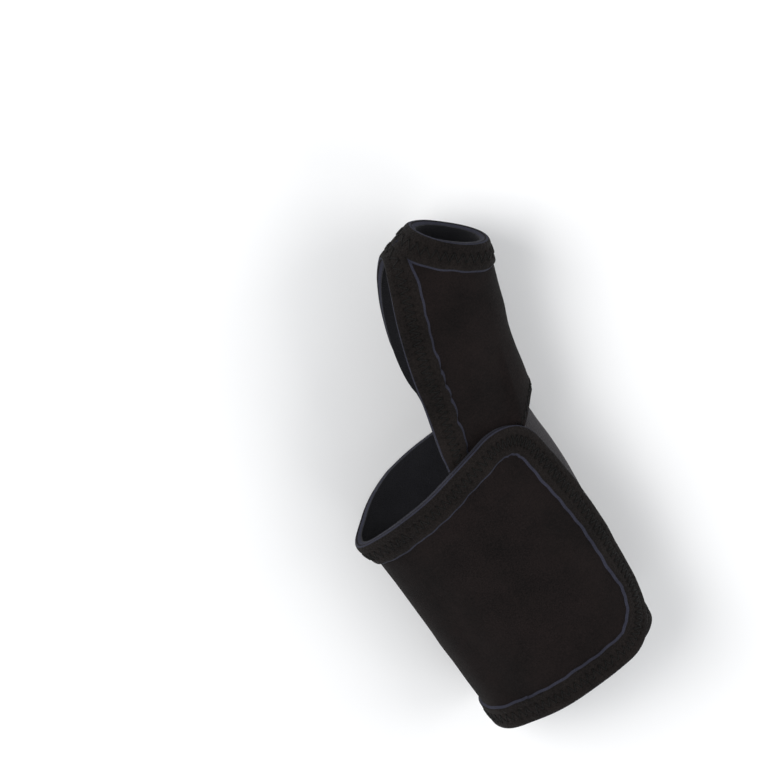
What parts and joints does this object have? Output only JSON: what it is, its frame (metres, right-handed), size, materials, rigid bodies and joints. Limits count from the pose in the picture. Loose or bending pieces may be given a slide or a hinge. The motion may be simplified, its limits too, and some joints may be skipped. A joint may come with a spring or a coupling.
{
  "type": "wrist support brace",
  "caption": "Closed wrap brace for a right wrist and thumb: a padded body sheet, an open-ended thumb sleeve and a wide strap that closes over the palm with hook tape.",
  "frame": {"origin": "centre of the bounding box's base, the plane of the flat dorsal side that it lies on", "axes": "+X to the thumb side, +Y to the fingers, +Z out of the palm"},
  "size_m": [0.093, 0.164, 0.0501],
  "materials": {
    "pile": "matt brushed loop pile",
    "trim": "matt fuzzy knitted edge tape",
    "grey_loop": "matt brushed loop pile, charcoal grey",
    "foam": "matt closed-cell foam, navy",
    "lining": "fine smooth jersey knit",
    "hook": "fine hooks, slightly shiny"
  },
  "bodies": {
    "gauntlet": {"body_lining": "lining", "body_foam": "foam", "loop_panel": "grey_loop", "palm_tab_face": "pile", "palm_tab_trim": "trim", "body_top_trim": "trim", "body_bottom_trim": "trim"},
    "thumb_sleeve": {"sleeve_lining": "lining", "sleeve_foam": "foam", "sleeve_face": "pile", "thumb_opening_trim": "trim", "web_edge_trim": "trim"},
    "wrap_front": {"strap_front_lining": "lining", "strap_front_foam": "foam", "strap_front_face": "pile", "strap_front_top_trim": "trim", "strap_front_bottom_trim": "trim"},
    "wrap_end": {"strap_end_lining": "lining", "strap_end_foam": "foam", "strap_end_face": "pile", "strap_end_trim": "trim", "hook_patch": "hook"}
  },
  "joints": [
    {"name": "strap_wrap", "type": "hinge", "parent": "gauntlet", "child": "wrap_front", "pos_m": [-0.04706, 0, 0.02325], "axis": [0, -1, 0], "range_deg": [0, 100]},
    {"name": "strap_peel", "type": "hinge", "parent": "wrap_front", "child": "wrap_end", "pos_m": [-0.02187, 0, 0.04949], "axis": [0, -1, 0], "range_deg": [0, 65]},
    {"name": "thumb_flex", "type": "hinge", "parent": "gauntlet", "child": "thumb_sleeve", "pos_m": [0.02774, 0.00324, 0.02325], "axis": [0, 0, -1], "range_deg": [0, 15], "stiffness_Nm_per_rad": 0.02}
  ]
}
